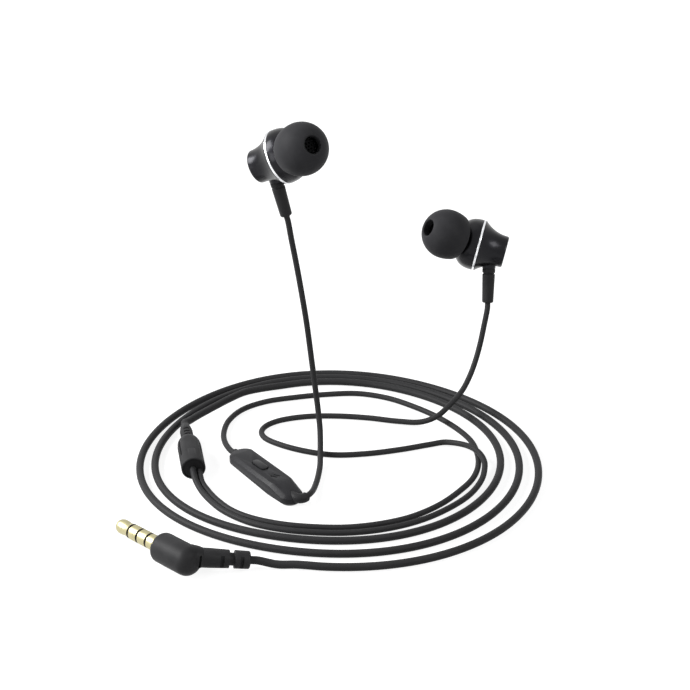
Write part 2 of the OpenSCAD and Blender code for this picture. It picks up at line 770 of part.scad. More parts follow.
module plug_boot() {
    r = boot_d / 2;
    gap_at = boot_l - 4.5;
    difference() {
        boot() turned_along_x([
            [0, boot_start], [boot_root_r, boot_start], [boot_root_r, boot_start + 1.5],
            [r, gap_at], [r - 0.6, gap_at + 0.1], [r - 0.6, gap_at + 1.1], [r, gap_at + 1.2],
            [r - 0.05, boot_l - 0.2], [r - 0.25, boot_l], [0, boot_l]]);
        flex_slots(gap_at - 1.6);
        flex_slots(boot_l - 1.8);
    }
}

// ---- Cords ----

function way(p, i) = unit(p[min(i + 1, len(p) - 1)] - p[max(i - 1, 0)]);
function square_to(v, way) = unit(v - (v * way) * way);

// Points of a round tube of d that follows p, ring by ring, without twist
function tube_rings(p, d, sides) =
    let (first = square_to([0.3, 0.4, 1], way(p, 0)))
    [for (i = 0, n = first; i < len(p);
            i = i + 1, n = i < len(p) ? square_to(n, way(p, i)) : n)
        for (k = [0:sides - 1]) let (a = k * 360 / sides)
            p[i] + d / 2 * (n * cos(a) + cross(way(p, i), n) * sin(a))];

// One unbroken tube, in triangles
module cord(p, d, sides) {
    last = len(p) - 1;
    walls = [for (i = [0:last - 1]) for (k = [0:sides - 1])
        let (a = i * sides + k, b = i * sides + (k + 1) % sides) each
            [[a, a + sides, b], [b, a + sides, b + sides]]];
    caps = [for (k = [1:sides - 2]) each
        [[0, k, k + 1], [last * sides, last * sides + k + 1, last * sides + k]]];
    polyhedron(tube_rings(p, d, sides), concat(walls, caps), convexity = 8);
}

// Radius of the coil at angle a, which grows by 360 each turn
function waves(p, a, k = 0) =
    k == len(p) ? 0 : p[k] * [cos((k + 1) * a), sin((k + 1) * a)] + waves(p, a, k + 1);
function coil_radius(a) =
    coil_r + waves(coil_bulge, a) - (a + 90) / 360 * (coil_step + waves(step_bulge, a));

coil_turns = [
    for (i = [0:floor((coil_to - coil_from) * coil_rings / 360)])
        let (a = coil_from + i * 360 / coil_rings)
        [coil_middle[0] + coil_radius(a) * cos(a), coil_middle[1] + coil_radius(a) * sin(a), main_d / 2]];

// Ends of the cords, square to the pieces that they leave
boot_way = heading(boot_heading, boot_dip);
boot_tip = bend_at + boot_l * boot_way;
splitter_way = heading(splitter_heading, 0);
splitter_end = [splitter_at[0], splitter_at[1], barrel_r];
neck_tip = splitter_end - (splitter_l + neck_l) * splitter_way;
splitter_face = splitter_end - cap_inset * splitter_way;
splitter_side = heading(splitter_heading + 90, 0);
remote_way = heading(remote_heading, 0);
remote_middle = [remote_at[0], remote_at[1], cord_z];
remote_top = remote_middle - (remote_l / 2 + 0.9) * remote_way;
elbow_way = heading(remote_heading + elbow_turn, 0);
elbow_tip = remote_middle + (remote_l / 2 - elbow_in) * remote_way
    + elbow_r * heading(remote_heading + 90, 0) + elbow_r * heading(remote_heading + elbow_turn - 90, 0);
left_tip = relief_tip(left_at, left_turn);
left_way = turned(left_turn, relief_way);
right_tip = relief_tip(right_at, right_turn);
right_way = turned(right_turn, relief_way);

main_path = concat(
    [boot_tip, boot_tip + main_d * boot_way], plug_lead, coil_turns, splitter_lead,
    [neck_tip - main_d * splitter_way, neck_tip]);
remote_start = splitter_face + 1.35 * splitter_side - [0, 0, 0.8];
remote_path = concat(
    [remote_start, remote_start + thin_d * splitter_way], remote_route,
    [remote_top - thin_d * remote_way, remote_top]);
right_start = splitter_face - 0.2 * splitter_side - [0, 0, 0.1];
right_path = concat(
    [right_start, right_start + thin_d * splitter_way], right_route,
    [right_tip + thin_d * right_way, right_tip]);
left_path = concat(
    [elbow_tip, elbow_tip + thin_d * elbow_way], left_route,
    [left_tip + thin_d * left_way, left_tip]);

// Least clear distance between one turn of the coil and the next
function to_segment(p, a, b) =
    let (s = max(0, min(1, (p - a) * (b - a) / ((b - a) * (b - a))))) norm(p - a - s * (b - a));
coil_gap = min([for (i = [0:len(main_path) - 2]) for (j = [0:len(main_path) - 1])
    if (abs(i - j) > coil_rings / 2) to_segment(main_path[j], main_path[i], main_path[i + 1])]) - main_d;
function path_length(p) = len(p) < 2 ? 0 : norm(p[1] - p[0]) + path_length([for (i = [1:len(p) - 1]) p[i]]);

echo(coil_gap = coil_gap);
echo(main = path_length(main_path), remote = path_length(remote_path));
echo(right = path_length(right_path), left = path_length(left_path));

// ---- Drawing ----

color("#34353a") left_bud() rear_shell();  // left_rear_shell
color("#d9dadd") left_bud() trim_ring();  // left_trim_ring
color("#34353a") left_bud() front_housing();  // left_front_housing
color("#b9bbbf") left_bud() nozzle_mesh();  // left_nozzle_mesh
color("#404044") left_bud() ear_tip();  // left_ear_tip
color("#2b2b2d") left_bud() driver_basket();  // left_driver_basket
color("#c3a86a") left_bud() driver_cover();  // left_driver_cover
color("#b9bbbf") left_bud() yoke();  // left_yoke
color("#8d8f94") left_bud() magnet();  // left_magnet
color("#b9bbbf") left_bud() top_plate();  // left_top_plate
color("#b06a35") left_bud() voice_coil();  // left_voice_coil
color("#d9c9a0") left_bud() diaphragm();  // left_diaphragm
color("#2f6b45") left_bud() terminal_board();  // left_terminal_board
color("#e8e6df") left_bud() damper();  // left_damper
color("#2b2b2d") left_bud() strain_relief();  // left_strain_relief
color("#34353a") right_bud() rear_shell();  // right_rear_shell
color("#d9dadd") right_bud() trim_ring();  // right_trim_ring
color("#34353a") right_bud() front_housing();  // right_front_housing
color("#b9bbbf") right_bud() nozzle_mesh();  // right_nozzle_mesh
color("#404044") right_bud() ear_tip();  // right_ear_tip
color("#2b2b2d") right_bud() driver_basket();  // right_driver_basket
color("#c3a86a") right_bud() driver_cover();  // right_driver_cover
color("#b9bbbf") right_bud() yoke();  // right_yoke
color("#8d8f94") right_bud() magnet();  // right_magnet
color("#b9bbbf") right_bud() top_plate();  // right_top_plate
color("#b06a35") right_bud() voice_coil();  // right_voice_coil
color("#d9c9a0") right_bud() diaphragm();  // right_diaphragm
color("#2f6b45") right_bud() terminal_board();  // right_terminal_board
color("#e8e6df") right_bud() damper();  // right_damper
color("#2b2b2d") right_bud() strain_relief();  // right_strain_relief
color("#2b2b2d") remote() remote_bottom_cover();
color("#38383b") remote() remote_top_cover();
color("#444448") remote() remote_button();
color("#2f6b45") remote() remote_circuit_board();
color("#8d8f94") remote() remote_switch();
color("#b9bbbf") remote() remote_microphone();
color("#2b2b2d") remote() remote_upper_bushing();
color("#2b2b2d") remote() remote_elbow_bushing();
color("#2b2b2d") splitter() splitter_barrel();
color("#2b2b2d") splitter() splitter_neck();
color("#b9bbbf") splitter() splitter_crimp();
color("#202022") splitter() splitter_end_cap();
color("#d8c48c") plug() plug_tip();
color("#d8c48c") plug() contact(band_1 - ring_l, band_1);  // plug_ring_1
color("#d8c48c") plug() contact(band_2 - ring_l, band_2);  // plug_ring_2
color("#d8c48c") plug() plug_sleeve();
color("#2a211c") plug() plug_insulator();
color("#2b2b2d") plug_handle();
color("#2b2b2d") plug_boot();
color("#2b2b2d") desk() cord(main_path, main_d, 6);  // main_cord
color("#2b2b2d") desk() cord(remote_path, thin_d, 8);  // remote_cord
color("#2b2b2d") desk() cord(right_path, thin_d, 8);  // right_bud_cord
color("#2b2b2d") desk() cord(left_path, thin_d, 8);  // left_bud_cord
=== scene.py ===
# %% [markdown]
# # Wired earphones
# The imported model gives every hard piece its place. This notebook dresses it: it lays smooth
# cords over the CAD routes, turns fine soft ear tips, and gives each piece a finish of its own.
# Lengths are in metres, in the CAD's own frame, so a piece goes where the CAD says.

# %% Load the frame
import json
import math
import bmesh
import bpy
from mathutils import Euler, Matrix, Vector

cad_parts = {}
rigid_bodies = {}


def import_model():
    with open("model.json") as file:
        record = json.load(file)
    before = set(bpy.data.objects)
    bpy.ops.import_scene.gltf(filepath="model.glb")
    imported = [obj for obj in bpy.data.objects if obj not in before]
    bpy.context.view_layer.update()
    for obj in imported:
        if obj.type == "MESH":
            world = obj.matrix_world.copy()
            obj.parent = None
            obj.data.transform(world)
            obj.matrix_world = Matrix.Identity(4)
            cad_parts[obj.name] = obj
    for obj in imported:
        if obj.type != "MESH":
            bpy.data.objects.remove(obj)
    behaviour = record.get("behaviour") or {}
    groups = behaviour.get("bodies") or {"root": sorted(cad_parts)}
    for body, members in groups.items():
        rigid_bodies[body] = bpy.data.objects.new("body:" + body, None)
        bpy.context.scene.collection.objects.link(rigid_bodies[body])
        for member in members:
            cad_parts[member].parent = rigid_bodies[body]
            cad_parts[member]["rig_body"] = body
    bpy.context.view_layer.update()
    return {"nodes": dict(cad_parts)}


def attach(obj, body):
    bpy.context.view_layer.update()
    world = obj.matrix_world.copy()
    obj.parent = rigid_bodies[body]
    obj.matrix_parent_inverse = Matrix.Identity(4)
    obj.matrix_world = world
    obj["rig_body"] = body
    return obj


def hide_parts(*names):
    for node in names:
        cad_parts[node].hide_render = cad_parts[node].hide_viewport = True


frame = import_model()
MM = 0.001
nodes = frame["nodes"]

# %% [markdown]
# The desk under the coil is the level that most places are told from. The model's origin is the
# left ear tip's mouth, well above the desk. Each bud has a place and a turn, its nozzle leaves
# it at an angle, and its strain relief leans back a little. Places and sizes are in millimetres
# above the desk until one function turns them into the model's metres.

# %% Places of the buds, the remote, the splitter and the plug
RING_D, RING_W, REAR_LEN, REAR_D, REAR_STEP, REAR_FLARE = 12.8, 0.6, 6.45, 7.8, 0.05, 2.4
NOZZLE_BEND, NOZZLE_TURN, NOZZLE_ROOT = 35, 12, 0.9
RELIEF_BACK, RELIEF_LEAN, RELIEF_COLLAR, RELIEF_LEN = 2.7, 13, 0.35, 8.5
TIP_D, TIP_HOLE_D, TIP_WIDE = 12.1, 4.0, 9.15
MAIN_D, THIN_D = 1.8, 1.4
REMOTE_AT, REMOTE_HEADING, REMOTE_MIDDLE_Z = (-17.3, -8.2), -54.5, 1.9
REMOTE_UP, REMOTE_DOWN, ELBOW_TURN, ELBOW_R = 13.9, 11.9, 110, 1.6
SPLITTER_AT, SPLITTER_HEADING, SPLITTER_LEN, CAP_IN = (-34.2, -6.4, 2.85), -80.2, 21.5, 0.15
PLUG_AT, PLUG_HEADING, PLUG_DIP = (-38.9, -41.6, 3.55), 135, 2.5
HANDLE_LEN, BEND_RISE, BOOT_HEADING, BOOT_DIP, BOOT_LEN = 8.5, 0.6, 9.5, 9.4, 14
# Each bud's place, its turn in degrees, and the side that its nozzle bends to.
BUDS = {"left": ((-13.4, 12.2, 73.1), (63, -3.5, 72.5), -1),
        "right": ((34.3, 38.2, 41), (77.5, -17, -96.5), 1)}


def turned(at, turn):
    """A frame above the desk, turned about x, then y, then z, in degrees."""
    angles = [math.radians(a) for a in turn]
    return Matrix.Translation(at) @ Euler(angles, "XYZ").to_matrix().to_4x4()


def pointing(at, way):
    """A frame at a point whose z axis runs along way."""
    return Matrix.Translation(at) @ Vector(way).to_track_quat("Z", "Y").to_matrix().to_4x4()


def compass(angle, dip=0):
    """The direction of something that heads along the desk and dips below level, in degrees."""
    a, d = math.radians(angle), math.radians(dip)
    return Vector((math.cos(a) * math.cos(d), math.sin(a) * math.cos(d), -math.sin(d)))


def nozzle_way(side):
    """The nozzle's direction in its housing's frame."""
    bend, turn = math.radians(NOZZLE_BEND), math.radians(NOZZLE_TURN)
    return Vector((side * math.sin(bend) * math.cos(turn), math.sin(bend) * math.sin(turn),
                   math.cos(bend)))


nozzles = {bud: turned(at, turn) @ pointing((0, 0, NOZZLE_ROOT), nozzle_way(side))
           for bud, (at, turn, side) in BUDS.items()}
tip_front = TIP_WIDE + math.sqrt((TIP_D / 2) ** 2 - (TIP_HOLE_D / 2) ** 2)
SEAT = nozzles["left"] @ Vector((0, 0, tip_front))


def above_desk(place):
    """Turns a place in millimetres above the desk into one in the model's metres."""
    return Matrix.Scale(MM, 4) @ Matrix.Translation(-SEAT) @ place


DESK = -SEAT.z * MM
print("the desk is", round(-DESK / MM, 1), "mm below the left tip's mouth")

# %% [markdown]
# ## The camera
# The view is from in front of the coil and well above it, with a long lens, so the circles of
# the coil flatten into ovals and the buds stand clear of each other.

# %% Camera
camera = bpy.data.objects.new("camera", bpy.data.cameras.new("camera"))
bpy.context.scene.collection.objects.link(camera)
camera.location = above_desk(Matrix.Identity(4)) @ Vector((1.19, -375.6, 209.34))
camera.rotation_euler = (math.radians(64.7), 0, 0)
camera.data.lens = 94.2
camera.data.sensor_width = 36
camera.data.clip_start = 0.01
bpy.context.scene.camera = camera
print("camera at", [round(x, 3) for x in camera.location])

# %% [markdown]
# ## Materials: shared steps
# A colour is written as it looks on a screen, and one function turns it linear. One small
# function adds a node, sets it and links it, and every finish below is built from those two.
# The real grain of most moulded, stamped and plated skins is a few hundredths of a millimetre,
# far too fine to show, so it is drawn three to ten times as coarse.

# %% Colour and node helpers


def linear(code):
    """A screen colour such as #2b2b2d as linear red, green and blue."""
    parts = [int(code[i:i + 2], 16) / 255 for i in (1, 3, 5)]
    return [c / 12.92 if c <= 0.04045 else ((c + 0.055) / 1.055) ** 2.4 for c in parts] + [1]


def add(tree, kind, inputs=(), **settings):
    """Adds a node, sets its properties, and fills its inputs with values or others' outputs."""
    node = tree.nodes.new(kind)
    for key, value in settings.items():
        setattr(node, key, value)
    for key, value in dict(inputs).items():
        if isinstance(value, bpy.types.NodeSocket):
            tree.links.new(value, node.inputs[key])
        else:
            node.inputs[key].default_value = value
    return node


def new_material(name):
    """An empty material with its output and a Principled shader, and Object coordinates."""
    material = bpy.data.materials.new(name)
    material.use_nodes = True
    tree = material.node_tree
    tree.nodes.clear()
    shader = add(tree, "ShaderNodeBsdfPrincipled")
    output = add(tree, "ShaderNodeOutputMaterial")
    tree.links.new(shader.outputs[0], output.inputs[0])
    place = add(tree, "ShaderNodeTexCoord").outputs["Object"]
    return material, tree, shader, place


def fill(tree, shader, **inputs):
    """Sets the shader's own sockets, by name with underscores for spaces."""
    for key, value in inputs.items():
        socket = shader.inputs[key.replace("_", " ")]
        if isinstance(value, bpy.types.NodeSocket):
            tree.links.new(value, socket)
        else:
            socket.default_value = value


def grain(tree, place, size_mm, detail=2.0):
    """Even noise whose blotches are about size_mm across."""
    inputs = {"Vector": place, "Scale": 1 / (size_mm * MM), "Detail": detail}
    return add(tree, "ShaderNodeTexNoise", inputs).outputs["Fac"]


def between(tree, fac, low, high):
    """A value that runs from low to high as fac runs over the middle of its range."""
    inputs = {"Value": fac, "From Min": 0.3, "From Max": 0.7, "To Min": low, "To Max": high}
    return add(tree, "ShaderNodeMapRange", inputs).outputs[0]


def blend_colours(tree, fac, first, second):
    """A mix of two screen colours by fac."""
    mix = add(tree, "ShaderNodeMix", data_type="RGBA")
    tree.links.new(between(tree, fac, 0, 1), mix.inputs["Factor"])
    mix.inputs[6].default_value = linear(first)
    mix.inputs[7].default_value = linear(second)
    return mix.outputs[2]


def relief_map(tree, height, depth_mm):
    """Bump from a height, whose full range stands depth_mm tall."""
    inputs = {"Height": height, "Distance": depth_mm * MM, "Strength": 1.0}
    return add(tree, "ShaderNodeBump", inputs).outputs[0]


def plain_finish(name, first, second, blotch_mm, grain_mm, depth_mm, rough, metallic=0.0, **extra):
    """A moulded or stamped finish: two close colours in soft blotches, and a fine grain that
    varies its gloss between the two roughnesses and stands depth_mm tall."""
    material, tree, shader, place = new_material(name)
    blotches = grain(tree, place, blotch_mm)
    fine = grain(tree, place, grain_mm)
    fill(tree, shader, Base_Color=blend_colours(tree, blotches, first, second),
         Roughness=between(tree, fine, *rough), Metallic=metallic,
         Normal=relief_map(tree, fine, depth_mm), **extra)
    return material


# %% [markdown]
# ## The cords
# A thin earphone cord is a few copper strands in an extruded jacket of soft black elastomer. It
# keeps a gentle set from its packing, so it lies in easy curves with no sharp bend. Each route
# is a row of points on the desk, and a smooth curve through them is the cord's middle line. The
# main cord's coil follows a rule instead: a spiral that steps in with each turn, with a few waves.

# %% Routes of the cords
PLUG_LEAD = [(-13.4, -45.1, 1)]
SPLITTER_LEAD = [
    (-24, 36, 1.6), (-27.8, 31.9, 1.8), (-31.4, 27.3, 1.9), (-33.5, 24.2, 2.1),
    (-35.6, 21, 2.3), (-37.4, 18, 2.5)]
REMOTE_ROUTE = [
    (-32, -10.2, 1.4), (-30.4, -13.2, 0.8), (-28.1, -17.2, 0.7), (-24.6, -21.7, 0.7),
    (-20.2, -25, 0.7), (-13.3, -27.8, 0.7), (-6, -29.1, 0.7), (1.5, -29.3, 0.7),
    (9, -27.8, 0.7), (16, -24.8, 0.7), (22.8, -19.3, 0.7), (27.8, -12.9, 0.7),
    (31, -7.4, 0.7), (32.7, -1.4, 0.7), (32.9, 5, 0.7), (31.8, 11.2, 0.7),
    (28.9, 17.3, 0.7), (24.4, 23.6, 0.7), (18.8, 29.2, 0.7), (12, 34.2, 0.7),
    (4.5, 36.7, 0.7), (-3, 36.3, 0.7), (-11, 34.7, 0.7), (-18.8, 32.2, 0.7),
    (-24.4, 28, 0.7), (-27.6, 22, 0.7), (-28.5, 15.5, 0.8), (-27.9, 9.6, 1.3)]
RIGHT_ROUTE = [
    (-33.5, -10.2, 2), (-32.1, -13.2, 1.1), (-29.8, -17.2, 0.7), (-26.3, -22.1, 0.7),
    (-20.3, -27.1, 0.7), (-13.4, -30, 0.7), (-6, -31.4, 0.7), (1.8, -31.6, 0.7),
    (9.6, -30.1, 0.7), (17.2, -26.8, 0.7), (24, -21.6, 0.7), (29.8, -14.9, 0.7),
    (33, -8.3, 0.8), (34, -4.1, 1.1), (34.2, -1.1, 1.7), (33.5, 1.3, 2.3),
    (32, 4.2, 2.4), (29.4, 7.9, 1.6), (25.4, 10.4, 0.8), (22, 9.5, 0.7), (14.4, 6.8, 0.7),
    (6.5, 4.8, 0.7), (-1.5, 4.2, 0.7), (-8.5, 6.1, 0.7), (-14.6, 9.4, 0.7),
    (-18.3, 12.7, 0.7), (-19.3, 15.8, 0.7), (-18.3, 19, 0.7), (-15, 21.9, 0.7), (-8.5, 24, 0.7),
    (-1, 24.3, 0.7), (7, 23.3, 0.7), (14.4, 21.3, 0.8), (20, 20, 1.3),
    (24, 19.9, 3), (27.4, 22.3, 5.2), (30.3, 24.8, 7.6), (32.3, 27.2, 10.6),
    (33.8, 29.4, 14), (34.9, 31, 17.8), (35.7, 32.2, 21.6)]
LEFT_ROUTE = [
    (-6.3, -14.4, 1.4), (-5.8, -11.4, 0.9), (-5.3, -7.8, 0.7), (-4.9, -3.8, 0.7),
    (-4.7, -0.4, 0.9), (-4.7, 2.2, 1.9), (-4.7, 4.5, 3.8), (-4.8, 6.6, 6.6),
    (-5.3, 8.6, 11), (-6, 9.9, 16.6), (-6.9, 11, 24), (-7.8, 11.7, 31.5),
    (-8.9, 12.2, 39), (-10.1, 12.5, 46.5), (-11.2, 12.7, 52.8)]
COIL_R, COIL_STEP, COIL_MIDDLE = 48.1, 3.85, (-0.7, 2.5)
COIL_START, COIL_FROM, COIL_TO, COIL_EVERY = -90, -100, 830, 7.5
COIL_BULGE = [(-0.3, -1.5), (0.7, -0.7), (-0.1, -0.5), (0.1, 0.3)]
STEP_BULGE = [(0.4, -1.5), (0, -0.2)]
LINE_STEP, FINE_STEPS = 0.7, 12
# Where the two thin cords leave the splitter's face: how far to its side, and how far down.
REMOTE_EXIT, RIGHT_EXIT = (1.35, 0.8), (-0.2, 0.1)


def waves(pairs, a):
    """A sum of cosines and sines of 1, 2, 3 ... times the angle a."""
    return sum(c * math.cos((k + 1) * a) + s * math.sin((k + 1) * a)
               for k, (c, s) in enumerate(pairs))


def coil_point(degrees):
    """The main cord's middle at an angle that grows by 360 each turn."""
    a = math.radians(degrees)
    turns = (degrees - COIL_START) / 360
    r = COIL_R + waves(COIL_BULGE, a) - turns * (COIL_STEP + waves(STEP_BULGE, a))
    x, y = COIL_MIDDLE
    return Vector((x + r * math.cos(a), y + r * math.sin(a), MAIN_D / 2))


def with_ends(start, start_way, route, end, end_way, diameter):
    """A route with one straight diameter at each end, square to the pieces that the cord leaves."""
    first, last = start + diameter * start_way, end - diameter * end_way
    return [start, first, *map(Vector, route), last, end]


def splitter_exit(sideways, down):
    """Where a thin cord leaves the splitter's end face."""
    return splitter_face + sideways * splitter_side - Vector((0, 0, down))


boot_way, splitter_way = compass(BOOT_HEADING, BOOT_DIP), compass(SPLITTER_HEADING)
remote_way, elbow_way = compass(REMOTE_HEADING), compass(REMOTE_HEADING + ELBOW_TURN)
bend_at = Vector(PLUG_AT) - HANDLE_LEN * compass(PLUG_HEADING, PLUG_DIP) + Vector((0, 0, BEND_RISE))
boot_tip = bend_at + BOOT_LEN * boot_way
splitter_side = compass(SPLITTER_HEADING + 90)
neck_tip = Vector(SPLITTER_AT) - SPLITTER_LEN * splitter_way
splitter_face = Vector(SPLITTER_AT) - CAP_IN * splitter_way
remote_middle = Vector((*REMOTE_AT, REMOTE_MIDDLE_Z))
remote_top = remote_middle - REMOTE_UP * remote_way
elbow_tip = (remote_middle + REMOTE_DOWN * remote_way + ELBOW_R * compass(REMOTE_HEADING + 90)
             + ELBOW_R * compass(REMOTE_HEADING + ELBOW_TURN - 90))
# Each strain relief starts at the flared rear shell's surface, leans back and ends square.
lean = math.radians(RELIEF_LEAN)
relief_way = Vector((0, -math.cos(lean), -math.sin(lean)))
flare = (1 - (RELIEF_BACK - RING_W / 2) / REAR_LEN) ** REAR_FLARE
rear_r = REAR_D / 2 + (RING_D / 2 - REAR_STEP - REAR_D / 2) * flare
relief_end = Vector((0, 0, -RELIEF_BACK)) + (rear_r + RELIEF_COLLAR + RELIEF_LEN) * relief_way
relief_tips = {}
for bud, (at, turn, _) in BUDS.items():
    place = turned(at, turn)
    relief_tips[bud] = place @ relief_end, place.to_3x3() @ relief_way

remote_start, right_start = splitter_exit(*REMOTE_EXIT), splitter_exit(*RIGHT_EXIT)
left_tip, left_way = relief_tips["left"]
right_tip, right_way = relief_tips["right"]
coil = [coil_point(COIL_FROM + COIL_EVERY * i)
        for i in range(int((COIL_TO - COIL_FROM) / COIL_EVERY) + 1)]
main_route = PLUG_LEAD + coil + SPLITTER_LEAD
thin_ends = {"remote_cord": (remote_start, splitter_way, REMOTE_ROUTE, remote_top, remote_way),
             "right_bud_cord": (right_start, splitter_way, RIGHT_ROUTE, right_tip, -right_way),
             "left_bud_cord": (elbow_tip, elbow_way, LEFT_ROUTE, left_tip, -left_way)}
routes = {"main_cord": with_ends(boot_tip, boot_way, main_route, neck_tip, splitter_way, MAIN_D)}
routes.update({name: with_ends(*ends, THIN_D) for name, ends in thin_ends.items()})


def smooth_line(points, step):
    """A smooth curve through the points, in even steps of about one length, both ends kept."""
    fine = []
    padded = [2 * points[0] - points[1], *points, 2 * points[-1] - points[-2]]
    for a, b, c, d in zip(padded, padded[1:], padded[2:], padded[3:]):
        gaps = [max((q - p).length, 1e-6) ** 0.5 for p, q in ((a, b), (b, c), (c, d))]
        t = [0, gaps[0], gaps[0] + gaps[1], sum(gaps)]
        for k in range(FINE_STEPS):
            s = t[1] + gaps[1] * k / FINE_STEPS
            a1 = a.lerp(b, s / t[1])
            a2 = b.lerp(c, (s - t[1]) / gaps[1])
            a3 = c.lerp(d, (s - t[2]) / gaps[2])
            b1 = a1.lerp(a2, s / t[2])
            b2 = a2.lerp(a3, (s - t[1]) / (t[3] - t[1]))
            fine.append(b1.lerp(b2, (s - t[1]) / gaps[1]))
    fine.append(points[-1].copy())
    spans = [(q - p).length for p, q in zip(fine, fine[1:])]
    total, count = sum(spans), max(2, round(sum(spans) / step))
    line, i, run = [], 0, 0.0
    for k in range(count):
        target = total * k / count
        while run + spans[i] < target:
            run += spans[i]
            i += 1
        line.append(fine[i].lerp(fine[i + 1], (target - run) / max(spans[i], 1e-9)))
    return line + [fine[-1]]


to_metres = above_desk(Matrix.Identity(4))
lines = {name: [to_metres @ p for p in smooth_line(points[::-1], LINE_STEP)]
         for name, points in routes.items()}
for name, line in lines.items():
    print(name, round(sum((q - p).length for p, q in zip(line, line[1:])) / MM, 1), "mm")

# %% [markdown]
# The tube itself follows a rule: a circle carried along the line. A Geometry Nodes tree does
# that, with the diameter, the number of sides and the jacket's finish as its inputs.

# %% A tree that sleeves a line
SIDES = 20


def socket_in(tree, name, kind, default=None):
    """Adds an input to a tree and tells its identifier."""
    item = tree.interface.new_socket(name, in_out="INPUT", socket_type=kind)
    if default is not None:
        item.default_value = default
    return item.identifier


def settle(name, tree, values, source):
    """Runs a tree on an object and keeps the result as a plain mesh of its own."""
    bpy.context.scene.collection.objects.link(source)
    modifier = source.modifiers.new("nodes", "NODES")
    modifier.node_group = tree
    for identifier, value in values.items():
        modifier[identifier] = value
    bpy.context.view_layer.update()
    ready = source.evaluated_get(bpy.context.evaluated_depsgraph_get())
    mesh = bpy.data.meshes.new_from_object(ready)
    mesh.name = name
    bpy.data.objects.remove(source)
    piece = bpy.data.objects.new(name, mesh)
    bpy.context.scene.collection.objects.link(piece)
    return piece


sleeve = bpy.data.node_groups.new("sleeve a line", "GeometryNodeTree")
sleeve.interface.new_socket("Geometry", in_out="OUTPUT", socket_type="NodeSocketGeometry")
socket_in(sleeve, "Line", "NodeSocketGeometry")
diameter_in = socket_in(sleeve, "Diameter", "NodeSocketFloat", MAIN_D * MM)
sides_in = socket_in(sleeve, "Sides", "NodeSocketInt", SIDES)
jacket_in = socket_in(sleeve, "Jacket", "NodeSocketMaterial")
given = add(sleeve, "NodeGroupInput").outputs
radius = add(sleeve, "ShaderNodeMath", {0: given["Diameter"], 1: 0.5}, operation="MULTIPLY")
circle = add(sleeve, "GeometryNodeCurvePrimitiveCircle",
             {"Resolution": given["Sides"], "Radius": radius.outputs[0]})
swept = add(sleeve, "GeometryNodeCurveToMesh",
            {"Curve": given["Line"], "Profile Curve": circle.outputs[0], "Fill Caps": True})
smooth = add(sleeve, "GeometryNodeSetShadeSmooth", {0: swept.outputs[0]})
real = add(sleeve, "GeometryNodeRealizeInstances", {0: smooth.outputs[0]})
dressed = add(sleeve, "GeometryNodeSetMaterial",
              {"Geometry": real.outputs[0], "Material": given["Jacket"]})
add(sleeve, "NodeGroupOutput", {"Geometry": dressed.outputs[0]})
print("tree", sleeve.name, "has", len(sleeve.nodes), "nodes")

# %% [markdown]
# The jacket is a soft black elastomer, TPE, extruded hot over the strands. It is satin rather
# than glossy, its skin has a fine pebble from the die, and handling polishes it unevenly.
# The real pebble, near 0.02 mm, is far too fine to show, so it is drawn ten times as coarse.

# %% Jacket finish
jacket, tree, shader, place = new_material("extruded TPE jacket")
pebble = grain(tree, place, 0.22)
handling = grain(tree, place, 9)
fill(tree, shader, Base_Color=blend_colours(tree, handling, "#2b2b2c", "#313132"),
     Roughness=between(tree, handling, 0.42, 0.55), Normal=relief_map(tree, pebble, 0.02),
     Specular_IOR_Level=0.08)

# %% Sleeve the four cords
thickness = {name: (MAIN_D if name == "main_cord" else THIN_D) * MM for name in lines}
cord_pieces = {}
for name, line in lines.items():
    curve = bpy.data.curves.new(name + "_line", "CURVE")
    curve.dimensions = "3D"
    spline = curve.splines.new("POLY")
    spline.points.add(len(line) - 1)
    for point, p in zip(spline.points, line):
        point.co = (*p, 1)
    inputs = {diameter_in: thickness[name], sides_in: SIDES, jacket_in: jacket}
    source = bpy.data.objects.new(name + "_line", curve)
    cord_pieces[name] = settle(name + "_jacket", sleeve, inputs, source)
    print(name, len(cord_pieces[name].data.polygons), "faces")

# %% [markdown]
# ## The ear tips
# An ear tip is one moulding of soft silicone: a thin dome that fills the ear canal, folded back
# round a stiffer core tube that grips the nozzle. The dome thins towards its skirt and ends in a
# rolled rim, and the mouth has a soft round lip. All of it turns about the nozzle's axis, so the
# piece is one closed profile, turned.

# %% Helpers that make a piece and turn a profile
STEPS = 96


def make_piece(name, shape, material, smooth_angle=40):
    """Makes an object from a bmesh: no faces of no area, outward faces, smooth shading broken
    at sharp edges, one material."""
    bmesh.ops.dissolve_degenerate(shape, edges=shape.edges, dist=1e-7)
    bmesh.ops.recalc_face_normals(shape, faces=shape.faces)
    if shape.calc_volume(signed=True) < 0:
        bmesh.ops.reverse_faces(shape, faces=shape.faces)
    limit = math.radians(smooth_angle)
    for face in shape.faces:
        face.smooth = True
    for edge in shape.edges:
        edge.smooth = edge.calc_face_angle(0) < limit
    mesh = bpy.data.meshes.new(name)
    shape.to_mesh(mesh)
    shape.free()
    mesh.materials.append(material)
    piece = bpy.data.objects.new(name, mesh)
    bpy.context.scene.collection.objects.link(piece)
    return piece


def ring_of(shape, r, z):
    """A ring of corners about the z axis, or one corner on the axis."""
    if r < 1e-6:
        return [shape.verts.new((0, 0, z))]
    angles = [2 * math.pi * k / STEPS for k in range(STEPS)]
    return [shape.verts.new((r * math.cos(a), r * math.sin(a), z)) for a in angles]


